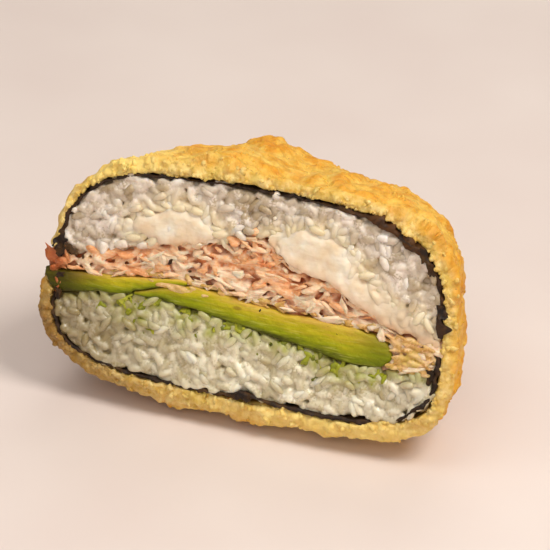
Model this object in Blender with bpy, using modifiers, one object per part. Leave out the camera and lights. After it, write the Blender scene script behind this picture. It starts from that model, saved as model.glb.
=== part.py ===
"""Half of a battered and fried sushi burger, standing on its round side with the cut face forward.

Metres, +Z up. The cut faces -Y and runs along X, and the whole half leans back a little.
Every size below is in millimetres, measured on the upright half: x to the right along the cut,
y back from the cut, z up from the underside of the batter.
"""
import math

import bmesh
import bpy
from mathutils import Vector, noise

MM = 0.001
GAP = 0.3                   # clearance between pieces that touch

# The wrapped burger: a round puck, flatter below its widest level than above it.
FILLING_HALF_WIDTH = 47.5   # inside the nori
FILLING_DEPTH = 45.5
WIDEST_LEVEL = 24.7
FILLING_RISE = 32.8         # from the widest level to the top
FILLING_DROP = 18.3         # from the widest level to the bottom
ROUNDING = 3.6              # superellipse power: 2 is a ball, more is squarer
NORI_THICKNESS = 0.8

# The batter: thicker below, behind and on the right than over the top.
BATTER_SHIFT = 1.6
BATTER_HALF_WIDTH = 50.9
BATTER_DEPTH = 50.0
BATTER_RISE = 37.2
BATTER_DROP = 24.7
BATTER_ROUNDING = 3.3
BATTER_ROUNDING_BELOW = 2.9
LUMP_SIZE = 11.0
LUMP_HEIGHT = 1.3

# Larger swellings of the batter and of the filling: (x, y, z, reach, height).
BATTER_SWELLINGS = [
    (-7, 37, 60, 11, 2.6),
    (-30, 32, 56, 10, 0.6),
    (22, 30, 58, 14, -1.2),
    (50, 14, 42, 16, -0.9),
    (-49, 3, 17, 11, 2.6),
    (44, 2, 3, 10, 2.2),
    (22, 46, 30, 14, 1.4),
    (-26, 44, 22, 13, 1.2),
]
FILLING_SWELLINGS = [(38, 0, 7, 13, 2.0)]

LEAN = math.radians(12.5)   # the top tips back
FLAT_DEPTH = 1.1            # batter pressed flat where the half rests

# Where the sheets of nori stop short of each other: height at x = 0, and slope along x.
UPPER_NORI_EDGE = (33.0, -0.05)
LOWER_NORI_EDGE = (25.0, 0.04)

# The hole in the batter at the left of the cut, where salmon and avocado push out.
TONGUE_CENTRE = (-46.5, 1.0, 29.5)
TONGUE_RADII = (4.4, 6.5, 6.0)

# Heights of the layers along the cut: (x, z).
LOWER_RICE_TOP = [(-52, 22.6), (-38, 24.5), (-26, 25.8), (-13, 24.9), (0, 23.7), (19, 20.5),
                  (29, 19.4), (38, 20.4), (52, 20.6)]
LEFT_AVOCADO_TOP = [(-52, 28.4), (-38, 29.6), (-30, 30.4), (-20, 31.8), (-12, 32.3)]
RIGHT_AVOCADO_TOP = [(-28, 26.8), (-22, 28.9), (-15, 30.9), (-4, 30.4), (12, 29.2), (28, 28.6),
                     (39, 26.6)]
SALMON_TOP = [(-52, 34.0), (-43, 33.8), (-33, 37.2), (-27, 37.9), (-21, 42.0), (-17, 41.9),
              (-8, 43.0), (-1, 47.4), (4, 48.4), (8, 43.2), (21, 39.6), (28, 36.0), (33, 32.6),
              (45, 29.2), (52, 28.0)]
LEFT_CREAM_TOP = [(-31, 43.0), (-27, 46.4), (-19.5, 49.4), (-13, 48.6), (-9, 45.0)]
LEFT_CREAM_BOTTOM = [(-31, 42.6), (-25, 41.0), (-17, 41.2), (-9, 44.0)]
RIGHT_CREAM_TOP = [(5, 46.8), (9, 49.3), (18, 49.5), (24, 46.6), (28.5, 40.6), (34, 36.6),
                   (46, 32.6)]
RIGHT_CREAM_BOTTOM = [(5, 46.0), (7.5, 43.2), (13, 40.3), (22, 38.6), (30, 33.6), (38, 30.8),
                      (46, 28.6)]
LAYER_WAVE = 0.9            # how far the layers rise and fall behind the cut
LAYER_WAVE_LENGTH = 27.0
CREAM_DEPTH = 36.0
RIGHT_AVOCADO_ENDS = (-28.0, 37.0)
LEFT_AVOCADO_ENDS = (-52.0, -15.0)
LEFT_CREAM_ENDS = (-30.6, -9.2)
RIGHT_CREAM_ENDS = (5.2, 45.0)

SLAB_ROWS = 4               # rows of faces behind the cut in each layer
COLUMN = 7.0                # spacing of a layer's points along the cut
ROUND_END_STEPS = (0.1, 0.45, 1.0)

# node: (base colour, roughness)
LOOKS = {
    "batter_crust": ((0.72, 0.40, 0.07), 0.75),
    "nori_upper": ((0.020, 0.017, 0.014), 0.6),
    "nori_lower": ((0.020, 0.017, 0.014), 0.6),
    "rice_top": ((0.74, 0.72, 0.66), 0.5),
    "rice_bottom": ((0.66, 0.69, 0.52), 0.5),
    "cream_cheese_left": ((0.85, 0.80, 0.66), 0.45),
    "cream_cheese_right": ((0.85, 0.80, 0.66), 0.45),
    "salmon": ((0.80, 0.42, 0.27), 0.55),
    "avocado_left": ((0.38, 0.47, 0.06), 0.45),
    "avocado_right": ((0.38, 0.47, 0.06), 0.45),
}


def clear_scene():
    for item in list(bpy.data.objects):
        bpy.data.objects.remove(item, do_unlink=True)


def new_collection(name):
    collection = bpy.data.collections.new(name)
    bpy.context.scene.collection.children.link(collection)
    return collection


def make_material(name, color, roughness):
    material = bpy.data.materials.new(name)
    material.use_nodes = True
    surface = material.node_tree.nodes["Principled BSDF"]
    surface.inputs["Base Color"].default_value = (*color, 1.0)
    surface.inputs["Roughness"].default_value = roughness
    surface.inputs["Metallic"].default_value = 0.0
    return material


def add_object(name, mesh_builder, collection):
    """Put the bmesh in a new object, scaled from millimetres to metres."""
    bmesh.ops.triangulate(mesh_builder, faces=mesh_builder.faces)
    bmesh.ops.recalc_face_normals(mesh_builder, faces=mesh_builder.faces)
    bmesh.ops.scale(mesh_builder, vec=(MM, MM, MM), verts=mesh_builder.verts)
    mesh = bpy.data.meshes.new(name)
    mesh_builder.to_mesh(mesh)
    mesh_builder.free()
    item = bpy.data.objects.new(name, mesh)
    collection.objects.link(item)
    return item


def smooth_curve(points):
    """A smooth height function through a few (x, z) points, level beyond its ends."""
    def slope(index):
        low = points[max(index - 1, 0)]
        high = points[min(index + 1, len(points) - 1)]
        return (high[1] - low[1]) / (high[0] - low[0])

    def height(x):
        if x <= points[0][0]:
            return points[0][1]
        for index in range(len(points) - 1):
            (x0, z0), (x1, z1) = points[index], points[index + 1]
            if x <= x1:
                width = x1 - x0
                t = (x - x0) / width
                start = z0 + slope(index) * width * t
                end = z1 - slope(index + 1) * width * (1 - t)
                blend = t * t * (3 - 2 * t)
                return start * (1 - blend) + end * blend
        return points[-1][1]

    return height


def wave(x, y):
    """How far a layer has risen or fallen at this place behind the cut."""
    turn = 2 * math.pi / LAYER_WAVE_LENGTH
    return LAYER_WAVE * math.sin(y * turn) * math.cos(x * turn * 0.6)


def puck(subdivisions, half_width, depth, rise, drop, power, power_below, shift=0.0):
    """A whole round puck from an icosphere, each point pushed out to a superellipsoid."""
    shape = bmesh.new()
    bmesh.ops.create_icosphere(shape, subdivisions=subdivisions, radius=1.0)
    for vertex in shape.verts:
        way = vertex.co.normalized()
        above = way.z >= 0
        height = rise if above else drop
        flat = math.hypot(way.x, way.y)
        squareness = power if above else power_below
        level = (flat ** squareness + abs(way.z) ** squareness) ** (1 / squareness)
        vertex.co = Vector((half_width * way.x, depth * way.y, height * way.z)) / level
        vertex.co += Vector((shift, 0, WIDEST_LEVEL))
    return shape


def swollen_by(point, swellings):
    """How far the larger swellings push out a point of the surface."""
    return sum(height * math.exp(-((point - Vector((x, y, z))).length / reach) ** 2)
               for x, y, z, reach, height in swellings)


def filling_puck(grow):
    """The space inside the nori, larger all round by grow."""
    shape = puck(4, FILLING_HALF_WIDTH + grow, FILLING_DEPTH + grow, FILLING_RISE + grow,
                 FILLING_DROP + grow, ROUNDING, ROUNDING)
    middle = Vector((0, 0, WIDEST_LEVEL))
    for vertex in shape.verts:
        outward = (vertex.co - middle).normalized()
        vertex.co += outward * swollen_by(vertex.co, FILLING_SWELLINGS)
    return shape


def batter_puck():
    """The outside of the batter, with its lumps."""
    shape = puck(5, BATTER_HALF_WIDTH, BATTER_DEPTH, BATTER_RISE, BATTER_DROP, BATTER_ROUNDING,
                 BATTER_ROUNDING_BELOW, BATTER_SHIFT)
    shape.normal_update()
    moves = []
    for vertex in shape.verts:
        push = LUMP_HEIGHT * noise.noise(vertex.co / LUMP_SIZE)
        push += swollen_by(vertex.co, BATTER_SWELLINGS)
        moves.append(vertex.normal * push)
    for vertex, move in zip(shape.verts, moves):
        vertex.co += move
    return shape


def column_places(left, right, round_ends):
    """Where a slab has points along x: on one shared spacing, so that layers meet evenly."""
    inner_left = left + max(round_ends[0], COLUMN / 4)
    inner_right = right - max(round_ends[1], COLUMN / 4)
    first = math.ceil(inner_left / COLUMN)
    last = math.floor(inner_right / COLUMN)
    places = {left, right} | {COLUMN * step for step in range(first, last + 1)}
    for part in ROUND_END_STEPS:
        if round_ends[0]:
            places.add(left + part * round_ends[0])
        if round_ends[1]:
            places.add(right - part * round_ends[1])
    return sorted(places)


def slab(ends, depth, top, bottom, round_ends=(0.0, 0.0)):
    """A block between two height functions, from in front of the cut to depth behind it."""
    left, right = ends
    front = -3.0
    places = column_places(left, right, round_ends)
    columns = len(places) - 1
    shape = bmesh.new()
    bmesh.ops.create_grid(shape, x_segments=columns, y_segments=SLAB_ROWS, size=0.5)
    lower = list(shape.verts)
    bmesh.ops.extrude_face_region(shape, geom=shape.faces[:], use_keep_orig=True)
    upper = [vertex for vertex in shape.verts if vertex not in set(lower)]
    for group, side in ((lower, -1), (upper, 1)):
        for vertex in group:
            x = places[round((vertex.co.x + 0.5) * columns)]
            y = front + (depth - front) * (vertex.co.y + 0.5)
            middle = (top(x) + bottom(x)) / 2
            half = (top(x) - bottom(x)) / 2
            half *= end_taper(x - left, round_ends[0]) * end_taper(right - x, round_ends[1])
            vertex.co = Vector((x, y, middle + side * max(half, 0.25) + wave(x, y)))
    return shape


def end_taper(inset, radius):
    """A round end: nought at the tip, one from radius inwards."""
    if inset >= radius:
        return 1.0
    return math.sqrt(max(0.0, 1 - (1 - inset / radius) ** 2))


def cutting_box(name, low, high, collection):
    """A wire box between two corners, for cutting away what lies inside it."""
    shape = bmesh.new()
    bmesh.ops.create_cube(shape, size=1.0)
    size = Vector(high) - Vector(low)
    bmesh.ops.scale(shape, vec=size, verts=shape.verts)
    bmesh.ops.translate(shape, vec=(Vector(high) + Vector(low)) / 2, verts=shape.verts)
    return as_cutter(add_object(name, shape, collection))


def as_cutter(item):
    item.hide_render = True
    item.display_type = "WIRE"
    return item


def cut(item, cutter, operation="DIFFERENCE"):
    step = item.modifiers.new(cutter.name, "BOOLEAN")
    step.operation = operation
    step.object = cutter
    step.solver = "EXACT"


def nori_sheet(name, edge, upper, collection):
    """One sheet of the wrap: the part of the puck beyond its edge, given its thickness."""
    shape = filling_puck(0.0)
    level, slope = edge
    keep_below = not upper
    bmesh.ops.bisect_plane(
        shape, geom=shape.verts[:] + shape.edges[:] + shape.faces[:], dist=1e-5,
        plane_co=(0, 0, level), plane_no=Vector((-slope, 0, 1)).normalized(),
        clear_outer=keep_below, clear_inner=upper)
    sheet = add_object(name, shape, collection)
    shell = sheet.modifiers.new("thickness", "SOLIDIFY")
    shell.thickness = NORI_THICKNESS * MM
    shell.offset = 1.0
    return sheet


def tongue(name, grow, collection):
    """The lump of filling that pushes out through the batter at the left of the cut."""
    shape = bmesh.new()
    bmesh.ops.create_icosphere(shape, subdivisions=3, radius=1.0)
    radii = Vector(TONGUE_RADII) + Vector((grow, grow, grow))
    bmesh.ops.scale(shape, vec=radii, verts=shape.verts)
    bmesh.ops.translate(shape, vec=TONGUE_CENTRE, verts=shape.verts)
    return as_cutter(add_object(name, shape, collection))


def batter_crust(parts, cutters, front, bulge):
    crust = add_object("batter_crust", batter_puck(), parts)
    hollow = as_cutter(add_object("batter_hollow", filling_puck(NORI_THICKNESS + GAP), cutters))
    for cutter in (front, hollow, bulge):
        cut(crust, cutter)
    return crust


def nori(parts, front, bulge):
    sheets = [nori_sheet("nori_upper", UPPER_NORI_EDGE, True, parts),
              nori_sheet("nori_lower", LOWER_NORI_EDGE, False, parts)]
    for sheet in sheets:
        cut(sheet, front)
        cut(sheet, bulge)
    return sheets


def layer(name, ends, top, bottom, parts, limits, depth=FILLING_DEPTH + 4, round_ends=(0.0, 0.0)):
    """A filling layer: a slab trimmed by the cut, the wrap and the pieces it goes round."""
    piece = add_object(name, slab(ends, depth, top, bottom, round_ends), parts)
    for cutter, operation in limits:
        cut(piece, cutter, operation)
    return piece


def clearance(name, ends, top, bottom, cutters, depth=FILLING_DEPTH + 4, round_ends=(0.0, 0.0)):
    """The same slab a gap larger all round, which clears a place for it in its neighbours."""
    wider = (ends[0] - GAP, ends[1] + GAP)
    shape = slab(wider, depth + GAP, lambda x: top(x) + GAP, lambda x: bottom(x) - GAP, round_ends)
    return as_cutter(add_object(name, shape, cutters))


def fillings(parts, cutters, front, bulge):
    """The layers from the lower rice up, each trimmed to its place."""
    wrap = as_cutter(add_object("wrap_space", filling_puck(-GAP), cutters))
    wrap_and_tongue = as_cutter(add_object("filling_space", filling_puck(-GAP), cutters))
    cut(wrap_and_tongue, bulge, "UNION")
    inside = [(front, "DIFFERENCE"), (wrap, "INTERSECT")]
    inside_or_tongue = [(front, "DIFFERENCE"), (wrap_and_tongue, "INTERSECT")]

    floor = smooth_curve(LOWER_RICE_TOP)
    salmon_top = smooth_curve(SALMON_TOP)

    def above_floor(x):
        return floor(x) + 2 * GAP

    right_slice = (RIGHT_AVOCADO_ENDS, smooth_curve(RIGHT_AVOCADO_TOP), above_floor)
    left_slice = (LEFT_AVOCADO_ENDS, smooth_curve(LEFT_AVOCADO_TOP), above_floor)
    left_cream = (LEFT_CREAM_ENDS, smooth_curve(LEFT_CREAM_TOP), smooth_curve(LEFT_CREAM_BOTTOM))
    right_cream = (RIGHT_CREAM_ENDS, smooth_curve(RIGHT_CREAM_TOP),
                   smooth_curve(RIGHT_CREAM_BOTTOM))
    right_round = (0.0, 5.0)
    cream_round = (2.0, 2.0)

    right_place = clearance("right_avocado_place", *right_slice, cutters, round_ends=right_round)
    left_place = clearance("left_avocado_place", *left_slice, cutters)
    cream_places = [
        clearance("left_cream_place", *left_cream, cutters, CREAM_DEPTH, cream_round),
        clearance("right_cream_place", *right_cream, cutters, CREAM_DEPTH, cream_round)]
    round_cream = [(place, "DIFFERENCE") for place in cream_places]
    round_right_slice = [(right_place, "DIFFERENCE")]
    round_slices = round_right_slice + [(left_place, "DIFFERENCE")]

    whole_width = (-FILLING_HALF_WIDTH - 6, FILLING_HALF_WIDTH + 6)
    below_all = WIDEST_LEVEL - FILLING_DROP - 6
    above_all = WIDEST_LEVEL + FILLING_RISE + 6
    return [
        layer("rice_bottom", whole_width, floor, lambda x: below_all, parts, inside),
        layer("avocado_right", *right_slice, parts, inside, round_ends=right_round),
        layer("avocado_left", *left_slice, parts, inside_or_tongue + round_right_slice),
        layer("salmon", whole_width, salmon_top, above_floor, parts,
              inside_or_tongue + round_slices + round_cream),
        layer("cream_cheese_left", *left_cream, parts, inside, CREAM_DEPTH, cream_round),
        layer("cream_cheese_right", *right_cream, parts, inside, CREAM_DEPTH, cream_round),
        layer("rice_top", whole_width, lambda x: above_all, lambda x: salmon_top(x) + GAP, parts,
              inside + round_cream),
    ]


def world_corners(item):
    """The lowest and highest corners of an object as the viewport shows it."""
    shown = item.evaluated_get(bpy.context.evaluated_depsgraph_get())
    points = [shown.matrix_world @ vertex.co for vertex in shown.data.vertices]
    low = Vector([min(point[axis] for point in points) for axis in range(3)])
    high = Vector([max(point[axis] for point in points) for axis in range(3)])
    return low, high


def stand_on_flat(stand, crust, cutters):
    """Lean the half back, centre it over the origin and press a flat where it rests."""
    stand.rotation_euler = (-LEAN, 0, 0)
    bpy.context.view_layer.update()
    low, high = world_corners(crust)
    middle = (low + high) / 2
    stand.location = (-middle.x, -middle.y, -low.z - FLAT_DEPTH * MM)
    floor = cutting_box("floor", (-90, -90, -30), (90, 90, 0), cutters)
    cut(crust, floor)


def main():
    clear_scene()
    parts = new_collection("sushi_burger")
    cutters = new_collection("cutters")
    stand = bpy.data.objects.new("stand", None)
    bpy.context.scene.collection.objects.link(stand)

    front = cutting_box("front", (-90, -60, -40), (90, 0, 120), cutters)
    bulge = tongue("tongue", 0.0, cutters)
    bulge_place = tongue("tongue_place", GAP, cutters)
    crust = batter_crust(parts, cutters, front, bulge_place)
    pieces = [crust] + nori(parts, front, bulge_place) + fillings(parts, cutters, front, bulge)
    for item in list(parts.objects) + list(cutters.objects):
        item.parent = stand
    stand_on_flat(stand, crust, cutters)

    for piece in pieces:
        color, roughness = LOOKS[piece.name]
        piece.data.materials.append(make_material(piece.name, color, roughness))
        piece.data.shade_smooth()
        piece.data.set_sharp_from_angle(angle=math.radians(40))


main()
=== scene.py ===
"""The looks of half a sushi burger: battered outside, and a cut face of rice, salmon and avocado.

Pieces are shaped in millimetres on the upright half: x to the right along the cut, y back from
the cut, z up. lay_down() then leans each one back and puts it in the frame, in metres.
"""

import math
import random
from contextlib import contextmanager

import bpy
from mathutils import Euler, Matrix, Vector, noise
from mathutils.bvhtree import BVHTree
from mathutils.kdtree import KDTree


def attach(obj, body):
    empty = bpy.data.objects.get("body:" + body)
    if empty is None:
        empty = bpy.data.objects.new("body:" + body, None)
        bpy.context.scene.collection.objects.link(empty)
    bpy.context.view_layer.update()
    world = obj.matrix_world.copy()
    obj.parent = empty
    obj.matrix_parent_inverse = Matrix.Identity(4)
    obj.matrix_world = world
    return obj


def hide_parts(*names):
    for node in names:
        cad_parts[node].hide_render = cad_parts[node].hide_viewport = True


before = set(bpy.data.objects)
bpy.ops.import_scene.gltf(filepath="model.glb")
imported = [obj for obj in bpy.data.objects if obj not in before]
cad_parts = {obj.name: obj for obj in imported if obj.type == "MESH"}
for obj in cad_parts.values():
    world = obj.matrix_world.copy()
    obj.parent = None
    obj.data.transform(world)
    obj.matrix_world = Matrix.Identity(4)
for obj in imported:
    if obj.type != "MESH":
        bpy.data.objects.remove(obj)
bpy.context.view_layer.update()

MM = 0.001
LEAN = math.radians(12.5)       # how far the half leans back on its round side
NORI_TOP = 58.3                 # height of the nori's top above the underside of the batter
TABLE_LEVEL = 0.0
HEART = Vector((0, 0, 30))      # the middle of the cut
CUT_SIDE = 54                   # the cut ends within this to each side
CUT_TOP = 64
FULL_TURN = 6.28                # in radians, near enough

draw = random.Random(11)        # for all that is strewn, the same in each run

NORI = ("nori_upper", "nori_lower")
CREAMS = ("cream_cheese_left", "cream_cheese_right")
FILLING = ("rice_top", "rice_bottom", "salmon", *CREAMS, "avocado_left", "avocado_right")


# ---- the frame, stood upright

def upright_axes():
    """The matrix from upright millimetres to the frame, read off the upper nori."""
    lean = Matrix.Rotation(-LEAN, 4, "X")
    upright = lean.inverted()
    points = [upright @ v.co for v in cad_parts["nori_upper"].data.vertices]
    across, back, up = zip(*points)
    corner = ((min(across) + max(across)) / 2, min(back), max(up) - NORI_TOP * MM)
    return lean @ Matrix.Translation(corner) @ Matrix.Scale(MM, 4)


STAND = upright_axes()
UPRIGHT = STAND.inverted()


def only(piece):
    """Make this the one selected and active object."""
    if bpy.context.mode != "OBJECT":
        bpy.ops.object.mode_set(mode="OBJECT")
    bpy.ops.object.select_all(action="DESELECT")
    piece.select_set(True)
    bpy.context.view_layer.objects.active = piece
    return piece


@contextmanager
def editing(piece):
    """Edit mode, with all of the piece selected."""
    only(piece)
    bpy.ops.object.mode_set(mode="EDIT")
    bpy.ops.mesh.select_all(action="SELECT")
    yield
    bpy.ops.object.mode_set(mode="OBJECT")


def resize(piece, amount, middle=(0, 0, 0)):
    with editing(piece):
        bpy.ops.transform.resize(value=amount, center_override=middle)


def named(name):
    """Name the primitive that has just been added."""
    piece = bpy.context.active_object
    piece.name = name
    piece.data.name = name
    return only(piece)


def new_object(name, data):
    thing = bpy.data.objects.new(name, data)
    bpy.context.scene.collection.objects.link(thing)
    return thing


def copy_of(node, name):
    """A closed copy of a CAD node, stood upright in millimetres."""
    piece = new_object(name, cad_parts[node].data.copy())
    piece.data.materials.clear()
    piece.data.transform(UPRIGHT)
    with editing(piece):
        bpy.ops.mesh.remove_doubles(threshold=0.005)
        bpy.ops.mesh.normals_make_consistent(inside=False)
    return piece


def apply_modifier(piece, kind, **settings):
    only(piece)
    step = piece.modifiers.new(kind.lower(), kind)
    for key, value in settings.items():
        setattr(step, key, value)
    bpy.ops.object.modifier_apply(modifier=step.name)
    return piece


def knead(piece, cell):
    """Even out the mesh into small cells of this size."""
    return apply_modifier(piece, "REMESH", mode="VOXEL", voxel_size=cell, use_smooth_shade=True)


def relax(piece, rounds):
    return apply_modifier(piece, "SMOOTH", iterations=rounds, factor=0.5)


def thin_out(piece, keep, chosen):
    """Drop detail where chosen(point) says that nobody sees it."""
    hidden = piece.vertex_groups.new(name="hidden")
    unseen = [v.index for v in piece.data.vertices if chosen(v.co)]
    hidden.add(unseen, 1.0, "REPLACE")
    share = len(unseen) / len(piece.data.vertices)
    apply_modifier(piece, "DECIMATE", ratio=1 - share * (1 - keep), vertex_group="hidden")
    piece.vertex_groups.clear()
    return piece


def blank(node, name, cell, back, rounds=0, keep=0.06):
    """A CAD node's shape in small even cells, with little detail farther back."""
    piece = knead(copy_of(node, name), cell)
    if rounds:
        relax(piece, rounds)
    return thin_out(piece, keep, lambda p: p.y > back)


def push(piece, rule):
    """Move each point of the piece by rule(point, normal)."""
    normals = [v.normal.copy() for v in piece.data.vertices]
    for vertex, normal in zip(piece.data.vertices, normals):
        vertex.co += rule(vertex.co, normal)
    piece.data.update()
    return piece


def lay_down(piece, node_names, finish, angle=60):
    """Lean the shaped piece back into the frame, give it its finish and hide the CAD parts it takes
    the place of.
    """
    piece.data.transform(STAND)
    for vertex in piece.data.vertices:
        vertex.co.z = max(vertex.co.z, TABLE_LEVEL)
    only(piece)
    bpy.ops.object.shade_smooth_by_angle(angle=math.radians(angle))
    piece.data.materials.clear()
    piece.data.materials.append(finish)
    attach(piece, "root")
    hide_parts(*node_names)
    return piece


def mark_list(piece, name, values):
    """Store one value for each point, in their order, for a material to read."""
    layer = piece.data.attributes.new(name, "FLOAT", "POINT")
    layer.data.foreach_set("value", values)


def mark(piece, name, rule):
    """Store rule(point) at each point."""
    mark_list(piece, name, [rule(v.co) for v in piece.data.vertices])


# ---- unevenness

def ripple(point, size, seed=0):
    """Soft noise from about -1 to 1, with lumps of this size."""
    return noise.noise(point / size + Vector((seed, seed * 1.7, -seed)))


def puffs(point, size, seed=0):
    """Round puffs with creases between them, from 0 to about 1."""
    return abs(ripple(point, size, seed)) * 1.8


def grit(point, size, seed=0):
    """Small rounded grains with gaps, from 0 to 1."""
    nearest = noise.voronoi(point / size + Vector((seed, 0, seed)))[0][0]
    return max(0, 1 - nearest * 1.4)


def unit(value):
    """The value kept from nought to one."""
    return min(1.0, max(0.0, value))


def fade(value, start, end):
    """Nought before start, one after end, smooth between."""
    t = unit((value - start) / (end - start))
    return t * t * (3 - 2 * t)


def near(point, x, z, reach):
    """One at this place on the cut, falling to nought round it."""
    return math.exp(-((point.x - x) ** 2 + (point.z - z) ** 2) / reach ** 2)


def heaped(point, heaps):
    """What heaps of (x, z, reach, how far) come to here."""
    return sum(far * near(point, x, z, reach) for x, z, reach, far in heaps)


# ---- where each layer lies

def probe_of(node):
    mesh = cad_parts[node].data
    points = [UPRIGHT @ v.co for v in mesh.vertices]
    return BVHTree.FromPolygons(points, [list(p.vertices) for p in mesh.polygons])


PROBES = {node: probe_of(node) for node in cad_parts}


def shows(nodes, x, z):
    """Whether one of these layers shows at this place on the cut."""
    hits = (PROBES[node].ray_cast(Vector((x, -5, z)), Vector((0, 1, 0)))[0] for node in nodes)
    return any(hit is not None and hit.y < 0.5 for hit in hits)


def span(node, x, y=1):
    """The lowest and highest level of a layer here, or None where it has ended."""
    up = PROBES[node].ray_cast(Vector((x, y, -20)), Vector((0, 0, 1)))[0]
    down = PROBES[node].ray_cast(Vector((x, y, 90)), Vector((0, 0, -1)))[0]
    if up is None or down is None:
        return None
    return up.z, down.z


def gap_to(nodes, point):
    """How far this point lies from the nearest of these layers."""
    return min(PROBES[node].find_nearest(point)[3] for node in nodes)


def behind(point):
    """This point, moved to a millimetre behind the cut or farther."""
    return Vector((point.x, max(point.y, 1), point.z))


LOOSEN = 0.35                   # how far a thing strays from its row, as a share of the spacing
ROWS = 0.87                     # distance between staggered rows, as a share of the spacing


def places(nodes, spacing):
    """Points on the cut that lie on these layers, evenly spread and then loosened."""
    found = []
    row = 0
    z = 0
    while z < CUT_TOP:
        x = -CUT_SIDE + (spacing / 2 if row % 2 else 0)
        while x < CUT_SIDE:
            spot_x = x + draw.uniform(-LOOSEN, LOOSEN) * spacing
            spot_z = z + draw.uniform(-LOOSEN, LOOSEN) * spacing
            if shows(nodes, spot_x, spot_z):
                found.append((spot_x, spot_z))
            x += spacing
        z += spacing * ROWS
        row += 1
    return found


# ---- many small things

def pattern_points(piece):
    """Take up a pattern that will be repeated, as its points and faces."""
    points = [v.co.copy() for v in piece.data.vertices]
    faces = [tuple(p.vertices) for p in piece.data.polygons]
    bpy.data.objects.remove(piece, do_unlink=True)
    return points, faces


def scatter(name, patterns, spots):
    """One mesh of many copies. A spot is (which pattern, matrix, tint)."""
    points, faces, tints = [], [], []
    for which, place, tint in spots:
        shape, sides = patterns[which % len(patterns)]
        start = len(points)
        points.extend(place @ p for p in shape)
        faces.extend(tuple(start + i for i in side) for side in sides)
        tints.extend([tint] * len(shape))
    mesh = bpy.data.meshes.new(name)
    mesh.from_pydata(points, [], faces)
    mesh.update()
    piece = new_object(name, mesh)
    mark_list(piece, "tint", tints)
    return only(piece)


def placed(centre, turn, size):
    """The matrix that sizes a thing, turns it and sets it down."""
    spin = Euler(turn).to_matrix().to_4x4()
    return Matrix.Translation(centre) @ spin @ Matrix.Diagonal((*size, 1))


def pose(x, y, z, turn, tip, roll, size=(1, 1, 1)):
    """A place on the cut: turned in the plane of the cut, then tipped out of it."""
    spin = Euler((roll, tip, 0)).to_matrix().to_4x4()
    facing = Matrix.Rotation(-turn, 4, "Y")
    return Matrix.Translation((x, y, z)) @ facing @ spin @ Matrix.Diagonal((*size, 1))


def fuse(name, patterns, spots, cell, rounds):
    """Press small things into one sticky mass that keeps each one's tint."""
    piece = relax(knead(scatter(name, patterns, spots), cell), rounds)
    owners = [(place @ point, tint) for which, place, tint in spots
              for point in patterns[which % len(patterns)][0]]
    tree = KDTree(len(owners))
    for index, (point, _) in enumerate(owners):
        tree.insert(point, index)
    tree.balance()
    mark(piece, "tint", lambda p: owners[tree.find(p)[1]][1])
    return piece


def mark_depth_shade(piece, start, end):
    """Note how deep each point lies behind the cut, for painted shade in the hollows."""
    mark(piece, "depth", lambda p: fade(p.y, start, end))
    return piece


# ---- finishes

class Wire:
    """A node's output, so that shader maths reads as Python."""

    def __init__(self, finish, socket):
        self.finish = finish
        self.socket = socket

    def __add__(self, other):
        return self.finish.maths("ADD", self, other)

    def __radd__(self, other):
        return self.finish.maths("ADD", other, self)

    def __sub__(self, other):
        return self.finish.maths("SUBTRACT", self, other)

    def __rsub__(self, other):
        return self.finish.maths("SUBTRACT", other, self)

    def __mul__(self, other):
        return self.finish.maths("MULTIPLY", self, other)

    def __rmul__(self, other):
        return self.finish.maths("MULTIPLY", other, self)


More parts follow.
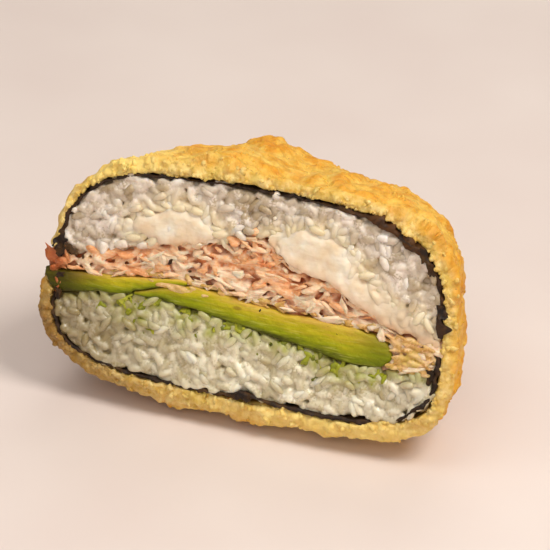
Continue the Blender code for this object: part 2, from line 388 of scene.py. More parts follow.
class Finish:
    """A material built from one Principled surface and the nodes that feed it.

    Glow is how light soaks in: (share, millimetres, reach of red, green and blue). A colour
    is given as it looks, from 0 to 255.
    """

    def __init__(self, name, glow=(0, 1, (1, 1, 1)), **constants):
        self.material = bpy.data.materials.new(name)
        self.material.use_nodes = True
        self.tree = self.material.node_tree
        self.surface = self.tree.nodes["Principled BSDF"]
        share, deep, radius = glow
        self.set(Subsurface_Weight=share, Subsurface_Scale=deep * MM, Subsurface_Radius=radius,
                 **constants)
        self.spot = self.add("TexCoord", out="Object")

    def add(self, kind, settings=None, inputs=None, out=0):
        node = self.tree.nodes.new("ShaderNode" + kind)
        for key, value in (settings or {}).items():
            if key == "stops":
                self.set_stops(node.color_ramp, value)
            else:
                setattr(node, key, value)
        for key, value in (inputs or {}).items():
            self.feed(node.inputs[key], value)
        return Wire(self, node.outputs[out])

    def set_stops(self, ramp, stops):
        while len(ramp.elements) < len(stops):
            ramp.elements.new(1.0)
        for element, (place, color) in zip(ramp.elements, stops):
            element.position = place
            element.color = tone(*color)

    def feed(self, socket, value):
        if isinstance(value, Wire):
            self.tree.links.new(value.socket, socket)
        else:
            socket.default_value = value

    def maths(self, operation, first, second):
        return self.add("Math", {"operation": operation}, {0: first, 1: second})

    def clamp(self, value, low, high):
        """Nought up to low, one from high, straight between."""
        return self.add("MapRange", {}, {"Value": value, "From Min": low, "From Max": high})

    def noise(self, size, detail=3, roughness=0.55, stretch=None, shift=0):
        """Soft noise with lumps of this size in millimetres."""
        return self.add("TexNoise", {}, {
            "Vector": self.stretched(stretch, shift), "Scale": 1 / (size * MM),
            "Detail": detail, "Roughness": roughness})

    def cells(self, size, stretch=None):
        """How far it is to the middle of the nearest cell."""
        return self.add("TexVoronoi", {}, {
            "Vector": self.stretched(stretch), "Scale": 1 / (size * MM)}, "Distance")

    def stretched(self, stretch, shift=0):
        if stretch is None and not shift:
            return self.spot
        return self.add("Mapping", {}, {
            "Vector": self.spot, "Rotation": (LEAN, 0, 0), "Scale": stretch or (1, 1, 1),
            "Location": (shift, shift, shift)})

    def mark(self, name):
        """A value stored on the mesh."""
        return self.add("Attribute", {"attribute_name": name}, out="Fac")

    def ramp(self, value, stops):
        return self.add("ValToRGB", {"stops": stops}, {"Fac": value}, "Color")

    def blend(self, amount, low, high):
        """From the low colour to the high colour."""
        low, high = (c if isinstance(c, Wire) else tone(*c) for c in (low, high))
        return self.add("Mix", {"data_type": "RGBA"}, {0: amount, 6: low, 7: high}, 2)

    def coats(self, color, *coats):
        """The colour under coats, each (how much, colour)."""
        for amount, paint in coats:
            color = self.blend(amount, color, paint)
        return color

    def relief(self, height, depth, strength, under=None):
        """A bump of this depth in millimetres."""
        inputs = {"Height": height, "Distance": depth * MM, "Strength": strength}
        if under:
            inputs["Normal"] = under
        return self.add("Bump", {}, inputs, "Normal")

    def set(self, **inputs):
        for socket, value in inputs.items():
            self.feed(self.surface.inputs[socket.replace("_", " ")], value)

    def wear(self, color, roughness, **more):
        """The finished material, with what changes over its surface."""
        self.set(Base_Color=color, Roughness=roughness, **more)
        return self.material


def tone(red, green, blue):
    """The linear colour that a shader takes for a colour as it looks."""
    parts = [part / 255 for part in (red, green, blue)]
    return *[p / 12.92 if p <= 0.04045 else ((p + 0.055) / 1.055) ** 2.4 for p in parts], 1


def batter_finish():
    """Golden fried batter: deeper on the high spots, pale and porous where it was cut, with painted
    shade and painted light.
    """
    f = Finish("fried_batter", (0.12, 2, (1, 0.5, 0.2)), Specular_IOR_Level=0.35)
    height = f.mark("height")
    broad = f.clamp(f.noise(14, 2), 0.35, 0.65)
    mottle = f.clamp(f.noise(3.2, 4, 0.65), 0.36, 0.66)
    pale = f.blend(mottle, (226, 178, 66), (244, 204, 104))
    deep = f.blend(mottle, (214, 142, 22), (238, 178, 58))
    body = f.blend(f.clamp(height + broad * 0.5, 0.35, 1.05), pale, deep)
    toast = f.clamp(f.noise(5.5, 4, 0.6, shift=3), 0.5, 0.74)
    # Painted shade: the low spots between the lumps are coated a darker gold.
    crease_shade = f.clamp(height, 0.16, 0)
    specks = f.clamp(f.cells(2.6), 0.075, 0.05)
    sparse = f.clamp(f.noise(9, 1, shift=7), 0.52, 0.58)
    body = f.coats(body, (toast * 0.6, (218, 128, 10)), (crease_shade * 0.4, (200, 144, 44)),
                   (specks * sparse * 0.8, (96, 66, 30)))
    crumb = f.blend(f.clamp(f.noise(1.8, 4, 0.65), 0.35, 0.65), (218, 176, 76), (252, 228, 158))
    # Painted shade: the pores in the cut crumb are coated a darker orange.
    pores = f.clamp(f.cells(1.6), 0.25, 0.05)
    yolky = f.clamp(f.noise(5, 2, shift=9), 0.5, 0.68)
    crumb = f.coats(crumb, (pores * 0.5, (190, 128, 32)), (yolky * 0.5, (208, 178, 60)))
    # Painted light at the upper left rim and along the bottom to the right, and painted shade at
    # the lower left, where the other half lies.
    color = f.coats(body, (f.mark("cut") * 0.8, crumb), (f.mark("paler") * 0.7, (255, 222, 126)),
                    (f.mark("side") * 0.78, (120, 72, 8)))
    bump = f.relief(f.noise(0.7, 3, 0.6), 0.3, 0.7)
    bump = f.relief(f.noise(1.9, 4, 0.6), 0.8, 0.8, bump)
    return f.wear(color, 0.38 + 0.25 * f.noise(2.4, 2), Normal=bump)


def nori_finish():
    """Damp seaweed: nearly black, with faint green and brown, and a crinkled grain."""
    f = Finish("damp_nori", Specular_IOR_Level=0.3)
    mix = f.clamp(f.noise(2, 4, 0.6), 0.35, 0.7)
    color = f.blend(mix, (24, 14, 9), (62, 42, 26))
    oily = f.clamp(f.noise(3.5, 3, shift=2), 0.5, 0.62)
    color = f.coats(color, (oily * 0.7, (84, 56, 22)),
                    (f.mark("oily") * (0.3 + mix * 0.6), (100, 58, 14)))
    bump = f.relief(f.noise(0.6, 3, 0.6), 0.3, 0.8)
    return f.wear(color, 0.45 + 0.35 * mix, Normal=bump)


def rice_finish(name, shade, light, rub, hollow_shade):
    """Cooked sushi rice: sticky and slightly clear, each grain a little different, with painted
    shade in the hollows and at the lower left.
    """
    f = Finish(name, (0.45, 1.2, (1, 0.8, 0.5)), Coat_Roughness=0.18)
    tint = f.mark("tint")
    cloudy = f.clamp(f.noise(1.8, 3, 0.6), 0.35, 0.65)
    color = f.blend(f.clamp(tint * 0.8 + cloudy * 0.2, 0, 1), shade, light)
    # Painted shade: darker and warmer deep behind the cut and at the lower left.
    deep = f.mark("depth")
    color = f.coats(color, (f.mark("rubbed") * 0.8, rub), (f.mark("side") * 0.82, (120, 96, 32)),
                    (deep * 0.85, hollow_shade))
    bump = f.relief(f.noise(0.8, 3, 0.5), 0.12, 0.6)
    return f.wear(color, 0.26 + 0.25 * cloudy, Coat_Weight=0.5 - deep * 0.4, Normal=bump)


def cream_finish():
    """Cream cheese: smooth and ivory, smeared by the knife."""
    f = Finish("cream_cheese", (0.4, 2, (1, 0.8, 0.5)), Specular_IOR_Level=0.45)
    cloudy = f.clamp(f.noise(5, 3, 0.55), 0.35, 0.65)
    smear = f.noise(2.4, 2, 0.5, stretch=(0.4, 1, 1.4))
    color = f.blend(cloudy, (236, 210, 174), (252, 238, 216))
    color = f.coats(color, (f.mark("mixed") * (0.5 + cloudy * 0.5), (216, 190, 156)),
                    (f.mark("stained") * 0.5, (240, 184, 136)))
    bump = f.relief(smear, 0.5, 0.4)
    bump = f.relief(f.noise(1.1, 3, 0.5, shift=3), 0.2, 0.6, bump)
    return f.wear(color, 0.32 + 0.2 * cloudy, Normal=bump)


def salmon_finish(name, dark, mid, pale):
    """Flaked cooked salmon: pink and peach fibres, with deep orange painted shade in the folds."""
    f = Finish(name, (0.3, 1.5, (1, 0.45, 0.25)), Specular_IOR_Level=0.45)
    tint = f.mark("tint")
    fibre = f.noise(0.55, 3, 0.65, stretch=(0.22, 1, 1.1))
    cloudy = f.noise(1.6, 3, 0.6, shift=4)
    color = f.ramp(f.clamp(tint * 0.65 + fibre * 0.8 + cloudy * 0.6 - 0.42, 0, 1),
                   [(0, dark), (0.42, mid), (1, pale)])
    # Painted shade: deeper behind the cut, the colour turns a dark orange.
    color = f.blend(f.mark("depth"), color, (172, 76, 14))
    bump = f.relief(cloudy, 0.5, 0.6)
    bump = f.relief(fibre, 0.4, 1, bump)
    return f.wear(color, 0.3 + 0.3 * fibre, Normal=bump)


def avocado_finish(name, tip_shade):
    """Avocado: yellow above, green towards the skin side, streaked along its length."""
    f = Finish(name, (0.15, 1.2, (0.8, 1, 0.3)), Specular_IOR_Level=0.2)
    level = f.mark("level")
    streak = f.noise(0.9, 5, 0.65, stretch=(0.14, 1, 1))
    patch = f.noise(6, 3, 0.55, stretch=(0.4, 1, 1), shift=5)
    ripe = f.clamp(level + (streak - 0.5) * 0.7 + (patch - 0.5) * 0.6, 0, 1)
    color = f.ramp(ripe, [(0, (70, 72, 0)), (0.12, (110, 120, 2)),
                          (0.36, (154, 160, 6)), (0.7, (194, 178, 26)), (1, (212, 172, 70))])
    lines = f.clamp(f.noise(0.5, 3, 0.6, stretch=(0.1, 1, 1), shift=8), 0.54, 0.7)
    flecks = f.clamp(f.noise(1.1, 4, 0.7, stretch=(0.5, 1, 1), shift=2), 0.55, 0.75)
    bruise = f.clamp(f.cells(7, stretch=(0.6, 1, 1.6)), 0.13, 0.06)
    color = f.coats(color, (lines * 0.3, (220, 212, 112)), (flecks * 0.45, (126, 128, 4)),
                    (bruise * 0.6, (120, 84, 20)),
                    (f.mark("tip") * (0.85 + streak * 0.2), tip_shade))
    bump = f.relief(streak, 0.4, 0.6)
    bump = f.relief(f.noise(0.9, 3, 0.6, shift=1), 0.3, 0.7, bump)
    return f.wear(color, 0.25 + 0.3 * patch, Normal=bump)


def sauce_finish():
    """Mashed fish, sauce and avocado, tan and yellow."""
    f = Finish("mashed_fish", (0.3, 1.5, (1, 0.6, 0.2)))
    tint = f.mark("tint")
    cloudy = f.clamp(f.noise(1.6, 4, 0.6), 0.35, 0.65)
    color = f.ramp(f.clamp(tint * 0.7 + cloudy * 0.3, 0, 1),
                   [(0, (182, 128, 54)), (0.45, (214, 168, 96)), (1, (248, 210, 164))])
    green = f.clamp(f.noise(4, 2, shift=6), 0.5, 0.66)
    # Avocado green in patches, and painted shade of darker brown deeper behind the cut.
    color = f.coats(color, (green * 0.5, (204, 180, 70)), (f.mark("depth") * 0.5, (186, 124, 46)))
    return f.wear(color, 0.3 + 0.2 * cloudy, Normal=f.relief(f.noise(0.9), 0.3, 0.6))


def avocado_bits_finish():
    f = Finish("avocado_bits", (0.2, 1, (0.7, 1, 0.3)))
    color = f.ramp(f.mark("tint"), [(0, (98, 104, 2)), (0.6, (150, 154, 12)), (1, (192, 190, 56))])
    bump = f.relief(f.noise(0.5), 0.15, 0.6)
    return f.wear(color, 0.3 + 0.2 * f.noise(1), Normal=bump)


def table_finish():
    f = Finish("pale_table")
    cloudy = f.clamp(f.noise(60, 2), 0.3, 0.7)
    return f.wear(f.blend(cloudy, (225, 209, 202), (230, 216, 209)), 0.55 + 0.1 * cloudy)


# ---- the batter

CRUMB_KINDS = 5
CRUMBS_OUTSIDE = 1500           # tries, of which not all stick
CRUMBS_BY_NORI = 170
CRUMBS_ON_CUT = 150

# Where batter has run over the edge of the nori: (x, z, reach, how far).
SMEARS = [(36, 6, 4.5, 1.6), (-20, 57.5, 9, 0.9), (-30, 55.5, 3.5, 0.3), (-41, 9, 4, 0.6),
          (12, 5, 4, 0.5), (-20, 6, 3, 0.5), (47.5, 20, 3, 0.5), (32, 55.5, 6, -0.6),
          (40, 51, 4, -0.6), (47.8, 37, 4, -0.5), (2, 5, 6, -0.4), (22, 5, 5, -0.3)]

# Broad swells and dips of the crust: (x, z, reach, how far).
SWELLS = [(38, 55, 8, 2.3), (5, 63, 7, -1.7), (-11, 63, 5.5, 1.7), (50, 38, 8, -0.9),
          (-41, 50, 6, 0.5), (-26, 62, 6, -0.4)]


def batter_lumps(point):
    """How far the fried batter stands out here, in millimetres."""
    return (heaped(point, SWELLS) + 0.9 * ripple(point, 11, 1) + 0.8 * puffs(point, 7, 2)
            + 0.6 * ripple(point, 4, 13) + 0.55 * puffs(point, 2.6, 3)
            + 0.3 * ripple(point, 1.3, 4))


def batter_height(point):
    """How high this spot is among its neighbours, from 0 to 1."""
    return unit(0.6 * puffs(point, 7, 2) + 0.5 * ripple(point, 4, 13) + 0.5 * puffs(point, 2.6, 3))


def under_wrap(point):
    """Whether the batter lies against the nori, out of sight."""
    return point.y >= 3.5 and gap_to(NORI, point) < 1


def batter():
    crust = copy_of("batter_crust", "batter")
    push(crust, lambda p, n: n * 0.4 * near(p, -47, 36, 9))
    relax(knead(crust, cell=0.5), 2)
    cuts = []

    def fry(point, normal):
        outward = (point - HEART).normalized()
        outer = fade(normal.dot(outward), 0.15, 0.45)
        on_cut = point.y < 0.6 and normal.y < -0.5
        gap = gap_to(NORI, point) if point.y < 5 else 99
        reach = 4.5 + 2.5 * (1 - fade(point.z, 14, 26))
        cuts.append((1 - fade(gap, reach - 3, reach)) * (1 - fade(point.y, 0.5, 2.5)))
        round_off = min(2.4, 0.085 * gap * gap) * max(0, 1 - point.y / 5)
        if on_cut:
            crumbly = (puffs(point, 2.8, 5) + 0.45 * ripple(point, 1.3, 6)
                       + 0.5 * ripple(point, 5, 7))
            pores = fade(grit(point, 2.2, 8), 0.55, 0.8) * 0.8
            aside = Vector((ripple(point, 1.9, 9), 0, ripple(point, 1.9, 10))) * 0.6
            return aside + Vector((0, 0.2 - crumbly + pores + round_off, 0))
        if outer > 0:
            rim = 1 - fade(point.y, 0, 3)
            move = normal * ((batter_lumps(point) - 0.6) * outer)
            move.y += rim * 0.8 * ripple(point, 2.2, 11) + round_off
            return move
        if point.y < 4 and normal.y > -0.5 and gap < 1.5:
            run = heaped(point, SMEARS)
            edge = 1 - fade(point.y, 1, 4)
            ragged = 0.7 * ripple(point, 2.4, 12) + 0.5 * ripple(point, 1.2, 14)
            return -outward * (0.15 + ragged + run) * edge
        return Vector()

    push(crust, fry)
    mark_list(crust, "cut", cuts)
    relax(crust, 1)
    thin_out(crust, 0.06, under_wrap)
    mark(crust, "height", batter_height)
    return mark_painted_light_and_shade(crust)


def mark_painted_light_and_shade(piece):
    """Note where the batter gets painted shade, at the lower left, and painted light, at the upper
    left rim and along the bottom to the right.
    """
    # Painted shade at the lower left.
    mark(piece, "side", lower_left_shade)
    # Painted light at the upper left rim, and as light bounced up onto the bottom to the right.
    mark(piece, "paler", lambda p: unit(1.3 * near(p, -35, 58, 10)
                                        + 0.8 * fade(10 - p.z, 0, 6) * fade(p.x, -10, 20)))
    return piece


def lower_left_shade(point):
    """One at the lower left of the cut, where painted shade stands in for the shade of the other
    half beside it.
    """
    return (1 - fade(point.x, -52, -6)) * (1 - fade(point.z, 16, 34))


def crumb_patterns():
    patterns = []
    for seed in range(CRUMB_KINDS):
        bpy.ops.mesh.primitive_ico_sphere_add(subdivisions=2, radius=0.5)
        crumb = named("crumb")
        push(crumb, lambda p, n: n * 0.24 * ripple(p, 0.5, seed * 3.1 + 1))
        patterns.append(pattern_points(crumb))
    return patterns


def batter_crumbs(crust):
    """Fried crumbs on the outside, thickest along the rim, and on the cut."""
    skin = crust.data.vertices
    outer = [v for v in skin if (v.co - HEART).normalized().dot(v.normal) > 0.3 and v.co.y > 0.5]
    spots = []
    for _ in range(CRUMBS_OUTSIDE):
        vertex = draw.choice(outer)
        rim = 1 - fade(vertex.co.y, 2, 12)
        if draw.random() <= 0.35 + 0.65 * rim:
            spots.append(crumb_on(vertex, draw.uniform(0.5, 1.2)))
    inner = [v for v in skin if v.co.y < 0.9 and v.normal.y < 0.2 and gap_to(NORI, v.co) < 1.3]
    spots += [crumb_on(draw.choice(inner), draw.uniform(0.5, 1.5)) for _ in range(CRUMBS_BY_NORI)]
    band = [v for v in skin if v.co.y < 1.2 and v.normal.y < -0.3]
    spots += [crumb_on(draw.choice(band), draw.uniform(0.5, 1.7)) for _ in range(CRUMBS_ON_CUT)]
    return scatter("batter_crumbs", crumb_patterns(), spots)


def crumb_on(vertex, size):
    """A crumb stuck on the crust at this point."""
    sunk = vertex.co - vertex.normal * size * 0.16
    turn = [draw.uniform(0, FULL_TURN) for _ in range(3)]
    shape = (size * draw.uniform(0.8, 1.6), size, size * 0.8)
    return any_crumb(placed(sunk, turn, shape))


def any_tilt(reach):
    """Any turn in the plane of the cut, and a small tilt out of it."""
    return draw.uniform(-reach, reach), draw.uniform(0, FULL_TURN), draw.uniform(-reach, reach)


def any_crumb(place):
    """A spot for a crumb of any kind and tint."""
    return draw.randrange(CRUMB_KINDS), place, draw.random()


# ---- the nori

# Where the sheet is crumpled thick along the cut: (x, z, reach, extra half thickness).
CRUMPLES = [(-43, 51, 3.5, 0.3), (-47, 43, 3.5, 0.45), (-48, 37.5, 3, 0.6),
            (-24, 57.5, 1.2, 0.3), (-18, 58, 8, -0.12), (22, 56.5, 3.5, 0.45),
            (31, 54.5, 4, 1.15), (38, 51.5, 3.6, 1.6), (43.5, 47, 2.5, 0.5), (46.8, 42, 3, 0.3),
            (47.3, 35, 3.2, 1.25), (47, 28, 3, 0.4), (46.6, 21.5, 3.4, 0.6), (45, 13, 3, 0.35),
            (-9, 6.6, 2.5, 0.3), (1.5, 6.2, 2.6, 0.5), (9, 5.6, 1.5, 0.2), (-46, 16, 3, 0.15),
            (-20, 6.6, 4, 0.2), (16, 5.6, 4, 0.25), (24, 5.8, 3, 0.35), (31, 6.2, 2.5, 0.3),
            (-33, 9, 4, 0.15)]


def nori(node, name, seed):
    sheet = blank(node, name, cell=0.36, back=5, keep=0.05)

    def crinkle(point, normal):
        outward = (point - Vector((0, point.y, 30))).normalized()
        flat = Vector((outward.x, 0, outward.z)).normalized()
        front = 1 - fade(point.y, 1.5, 4.5)
        bunch = heaped(point, CRUMPLES)
        lift = near(point, 3, 5, 7)
        shift = 0.3 * ripple(point, 3.4, seed) + 0.3 * ripple(point, 1.4, seed + 1) - 1.3 * lift
        shift -= 1.3 * near(point, 45.5, 11, 6) + 0.6 * near(point, -20, 58, 12)
        rough = 0.2 * ripple(point, 0.9, seed + 2) + 0.24 * ripple(point, 2.2, seed + 3)
        thick = -0.17 + rough + bunch
        side = 1 if normal.dot(flat) > 0 else -1
        if side > 0:
            torn = max(0, ripple(point, 1.3, seed + 6))
            thick += bunch * (3 * ripple(point, 2.4, seed + 4) - 0.3) + 0.9 * torn
        edge = 1 - fade(point.y, 0, 1.5)
        forward = 0.05 - 0.4 * ripple(point, 1.6, seed + 5) - bunch * 0.6 - 0.8 * lift
        forward += 2.4 * near(point, 37.5, 5.5, 3.5) - 0.9 * near(point, 45, 11.5, 5)
        return flat * (shift + side * max(-0.3, thick)) * front + Vector((0, forward * edge, 0))

    push(sheet, crinkle)
    mark(sheet, "oily", lambda p: near(p, 33, 55, 10) + 0.5 * near(p, 47, 40, 9))
    return sheet


# Torn ends of the sheets, most at the opened left side: (x, y, z, turn, length).
SCRAPS = [(-47.4, -0.2, 36.2, 1.2, 3.8), (-46.4, -0.4, 34, 0.3, 3.2), (-47.6, 0.4, 33, 1.9, 3),
          (-44.6, -0.4, 34.8, 2.6, 2.4), (-46.6, -0.3, 28, 0.5, 1.8), (-46.6, -0.4, 23.4, 1.4, 2.6),
          (37, -0.2, 53.2, 2.4, 3.4), (41.5, -0.2, 50, 2.3, 3.2), (43.6, -0.1, 46.8, 2, 2.4),
          (47.4, -0.2, 37.6, 1.5, 3.4), (46.6, -0.2, 21, 1.6, 3.2), (2, -0.3, 7, 0.1, 3)]


def flap_patterns():
    """Torn bits of the sheet, crumpled and a little curled."""
    patterns = []
    for seed in range(4):
        bpy.ops.mesh.primitive_grid_add(x_subdivisions=10, y_subdivisions=8, size=1)
        flap = named("flap")
        apply_modifier(flap, "SOLIDIFY", thickness=0.16, offset=0)

        def crumple(point, normal):
            level = Vector((point.x, point.y, 0))
            torn = level * 0.7 * ripple(level.normalized(), 0.8, seed * 2.7 + 1)
            curl = 0.8 * point.x * point.x + 0.22 * ripple(level, 0.45, seed)
            return torn + Vector((0, 0, curl))

        patterns.append(pattern_points(push(flap, crumple)))
    return patterns


def nori_scraps():
    spots = []
    for index, (x, y, z, turn, length) in enumerate(SCRAPS):
        size = (length, length * 0.62, length * 0.7)
        roll = math.pi / 2 + 0.6 * math.sin(index * 2.3)
        spots.append((index, pose(x, y, z, turn, 0.4 * math.cos(index * 1.7), roll, size), 0.5))
    return scatter("nori_scraps", flap_patterns(), spots)


# Dark specks on the fish and the avocado: (x, z, size).
SPECKS = [(-19.7, 36.4, 1.7), (-14.6, 35, 0.9), (22.9, 27.1, 1.3), (3.6, 28.9, 0.8),
          (20.5, 28.4, 0.6), (-41.5, 33.4, 1.1)]


def nori_specks():
    spots = []
    for index, (x, z, size) in enumerate(SPECKS):
        shape = (size, 0.7, size * 0.6)
        spots.append((index, pose(x, 0, z, 0.4 * x, 0.3, 0.5, shape), 0.5))
    return scatter("nori_specks", crumb_patterns(), spots)


# ---- the rice

RICE_LENGTH = 4.8
RICE_WIDTH = 2.1

# How bent each kind of grain is, and where along it the knife has cut it off.
GRAINS = [(0.25, 1), (-0.3, 1), (0.1, 1), (0.2, 0.45), (-0.15, 0.3)]


def grain_patterns():
    """Cooked grains: plump, a little bent, some blunt where the knife went through."""
    patterns = []
    for bend, blunt in GRAINS:
        bpy.ops.mesh.primitive_uv_sphere_add(segments=9, ring_count=8, radius=0.5)
        grain = named("grain")
        with editing(grain):
            bpy.ops.transform.rotate(value=math.pi / 2, orient_axis="Y", center_override=(0, 0, 0))
        resize(grain, (RICE_LENGTH, RICE_WIDTH, RICE_WIDTH))
        for vertex in grain.data.vertices:
            along = vertex.co.x / (RICE_LENGTH / 2)
            if along > blunt:
                vertex.co.x = RICE_LENGTH / 2 * (blunt + (along - blunt) * 0.25)
            vertex.co.z += bend * (1 - along * along)
            vertex.co += Vector((0, 1, 1)) * 0.12 * ripple(vertex.co, 1.6, bend * 9)
        patterns.append(pattern_points(grain))
    return patterns


def grain_turn(x, z):
    """A direction in which a grain fits here, and how much of its length does."""
    for length in (1, 0.8, 0.6, 0.45):
        for _ in range(6):
            turn = draw.uniform(0, math.pi)
            reach = RICE_LENGTH / 2 * length * 0.85
            ends = [(x + side * reach * math.cos(turn), z + side * reach * math.sin(turn))
                    for side in (-1, 1)]
            if all(shows(FILLING, *end) for end in ends):
                return turn, length
    return None, 0


def rice_spots(node, depth, spacing):
    spots = []
    for x, z in places([node], spacing):
        turn, length = grain_turn(x, z)
        if turn is None:
            continue
        y = depth + draw.uniform(-0.4, 0.6)
        size = (length * draw.uniform(0.8, 1.08), draw.uniform(0.85, 1.05), draw.uniform(0.8, 1.08))
        here = Vector((x, 0, z))
        tint = 0.5 + 0.35 * ripple(here, 7, 3.3) + draw.uniform(-0.4, 0.4)
        tint -= 0.3 * near(here, 0, 53, 11)
        kind = draw.randrange(len(GRAINS))
        place = pose(x, y, z, turn, draw.gauss(0, 0.45), draw.uniform(0, FULL_TURN), size)
        spots.append((kind, place, unit(tint)))
    return spots


SPREAD = (1.006, 1, 1.01)       # presses the rice out against the nori


def rice_mass(node, name):
    """Grains pressed together into sticky rice, as the cut shows it."""
    spots = rice_spots(node, 0.95, 1.95) + rice_spots(node, 2.1, 1.95)
    spots = [spot for spot in spots if not under_fold(spot[1].translation)]
    mass = fuse(name, grain_patterns(), spots, cell=0.31, rounds=1)
    resize(mass, SPREAD, HEART)
    push(mass, lambda p, n: Vector((0, 0, -0.6 * near(p, -20, 58, 10))))
    thin_out(mass, 0.08, lambda p: p.y > 3.2)
    return dress_rice(node, mass)


def under_fold(point):
    """Whether the fold of nori in the middle of the underside comes up to here."""
    return near(point, 3, 6.5, 3.2) > 0.5


def loose_grains(node, name):
    """Single grains that stand clear, and some that lie over the cream's edge."""
    spots = [spot for spot in rice_spots(node, 0.6, 2.5)
             if draw.random() < 0.3 and gap_to(NORI, spot[1].translation) > 2]
    if node == "rice_top":
        spots += [spot for spot in rice_spots(node, 0.45, 2.1)
                  if gap_to(CREAMS, spot[1].translation) < 1.2 and draw.random() < 0.5]
    return dress_rice(node, scatter(name, grain_patterns(), spots))


# Where the avocado has smeared into the rice: (x, z, reach).
SMEARED = [(-31, 22.5, 3), (-26, 22, 3.4), (-23, 25, 3), (-15.5, 22, 2.6), (-13, 24.5, 3),
           (-8, 21.8, 2.4), (-2, 23.5, 2.8), (2, 22.5, 2.6), (10, 21.5, 2.6), (18, 20, 2.6),
           (23.5, 17.6, 2.4), (28, 17.6, 2.4), (32, 17.6, 2.2)]


def smeared(point):
    """How green the rice is here, from 0 to 1."""
    near_by = max(near(point, x, z, reach * 1.25) for x, z, reach in SMEARED)
    return near_by * (0.75 + 0.8 * ripple(point, 1.6, 21))


def dress_rice(node, piece):
    """Note the depth of each point, for painted shade, how much of its neighbours is rubbed into
    it, and where painted shade falls at the lower left.
    """
    mark_depth_shade(piece, 0.4, 2.4)

    def rubbed(point):
        if node == "rice_bottom":
            roof = span("rice_bottom", point.x)
            under = 1 - fade(roof[1] - point.z, 0.4, 2.6) if roof else 0
            return unit(max(0.7 * under, 1.05 * smeared(point)))
        reach = 5.5 + 4 * ripple(point, 6, 5) + 1.5 * ripple(point, 2.2, 6)
        reach += 5 * near(point, -5, 43.5, 7)
        return 1 - fade(gap_to(CREAMS, behind(point)), 0.3, max(1, reach))

    mark(piece, "rubbed", rubbed)
    # Painted shade at the lower left, warmed as by light bounced off the other half's crust, and a
    # little near the lower right.
    mark(piece, "side", lambda p: lower_left_shade(p) + 0.3 * near(p, 41, 12, 8))
    return piece


CORE_LUMPS = 2.2


def layer_core(node, name, cell, setback, seed):
    """The lumpy mass behind a layer's loose pieces, set back from the cut."""
    core = blank(node, name, cell, back=7)

    def settle(point, normal):
        front = 1 - fade(point.y, 0.5, 3)
        back = setback - 0.6 * grit(point, CORE_LUMPS, seed)
        return Vector((0, back * front, 0)) + normal * 0.1 * ripple(point, CORE_LUMPS, seed)

    push(core, settle)
    mark(core, "tint", lambda p: 0.25 + 0.5 * grit(p, CORE_LUMPS, seed))
    return core


# ---- the cream cheese

def cream(node, name, seed):
    lump = blank(node, name, cell=0.5, back=8, rounds=4)

    def smear(point, normal):
        front = 1 - fade(point.y, 0.3, 2.5)
        rise = (0.7 * ripple(point, 5, seed) + 0.5 * ripple(point, 2.2, seed + 1)
                + 0.2 * ripple(point, 0.9, seed + 2))
        grainy = 0.7 * fade(abs(point.x + 6), 22, 34) * grit(point, 2.4, seed)
        mound = 0.7 * fade(gap_to(["rice_top"], point), 0, 2.2) - 0.15
        mound *= 1 - 0.8 * mixed_in(point)
        aside = Vector((normal.x, 0, normal.z)) * (0.3 + rise * 1.1)
        return aside + Vector((0, (-0.05 - mound - rise * 0.5 - grainy) * front, 0))

    return mark_cream(push(lump, smear))


def mark_cream(piece):
    """Note where rice is worked into the cream, and where salmon has stained it."""
    mark(piece, "mixed", mixed_in)
    mark(piece, "stained", stained)
    return piece


def stained(point):
    """How far the salmon below has coloured the cream here."""
    gap = gap_to(["salmon"], behind(point))
    return (1 - fade(gap, 0.3, 2.6)) * (0.7 + 0.6 * ripple(point, 2.5, 31))


def mixed_in(point):
    """How far the cream is worked into the rice here, most towards the lower right."""
    return fade(point.x + 0.5 * (40 - point.z), 26, 42)


def cream_bits():
    """Crumbs and smears of cream along its edges and on the rice beside it."""
    spots = []
    for x, z in places([*CREAMS, "rice_top"], 1.5):
        if shows(CREAMS, x, z):
            sides = ((1.2, 0), (-1.2, 0), (0, 1.2), (0, -1.2))
            middle = all(shows(CREAMS, x + dx, z + dz) for dx, dz in sides)
            chance = 0.1 if middle else 0.7
            shrink = 1
        else:
            chance = 0.35 * (1 - fade(gap_to(CREAMS, Vector((x, 1, z))), 0.5, 5))
            shrink = 0.7
        if draw.random() > chance:
            continue
        size = draw.uniform(1.6, 3.8) * shrink
        turn = any_tilt(0.4)
        centre = (x, 0.55 + draw.uniform(-0.2, 0.3), z)
        spots.append(any_crumb(placed(centre, turn, (size * 1.3, 1.1, size))))
    for x, z in places(CREAMS, 2.1):
        if draw.random() > 0.15 + 0.7 * mixed_in(Vector((x, 0, z))):
            continue
        size = (draw.uniform(0.6, 0.95), 0.9, draw.uniform(0.8, 1))
        kind = CRUMB_KINDS + draw.randrange(len(GRAINS))
        place = pose(x, 0.35 + draw.uniform(-0.2, 0.25), z, draw.uniform(0, FULL_TURN / 2),
                     draw.gauss(0, 0.3), draw.uniform(0, FULL_TURN), size)
        spots.append((kind, place, draw.random()))
    patterns = crumb_patterns() + grain_patterns()
    return mark_cream(fuse("cream_bits", patterns, spots, cell=0.36, rounds=3))


# ---- the salmon

# Length, thickness and width of each kind of flake.
FLAKES = [(5.8, 0.9, 2.3), (5, 1.2, 1.4), (4.2, 1, 2.6), (6.4, 0.9, 1), (3.4, 1.2, 1.8),
          (5.4, 1, 1.9), (4, 0.8, 0.9)]


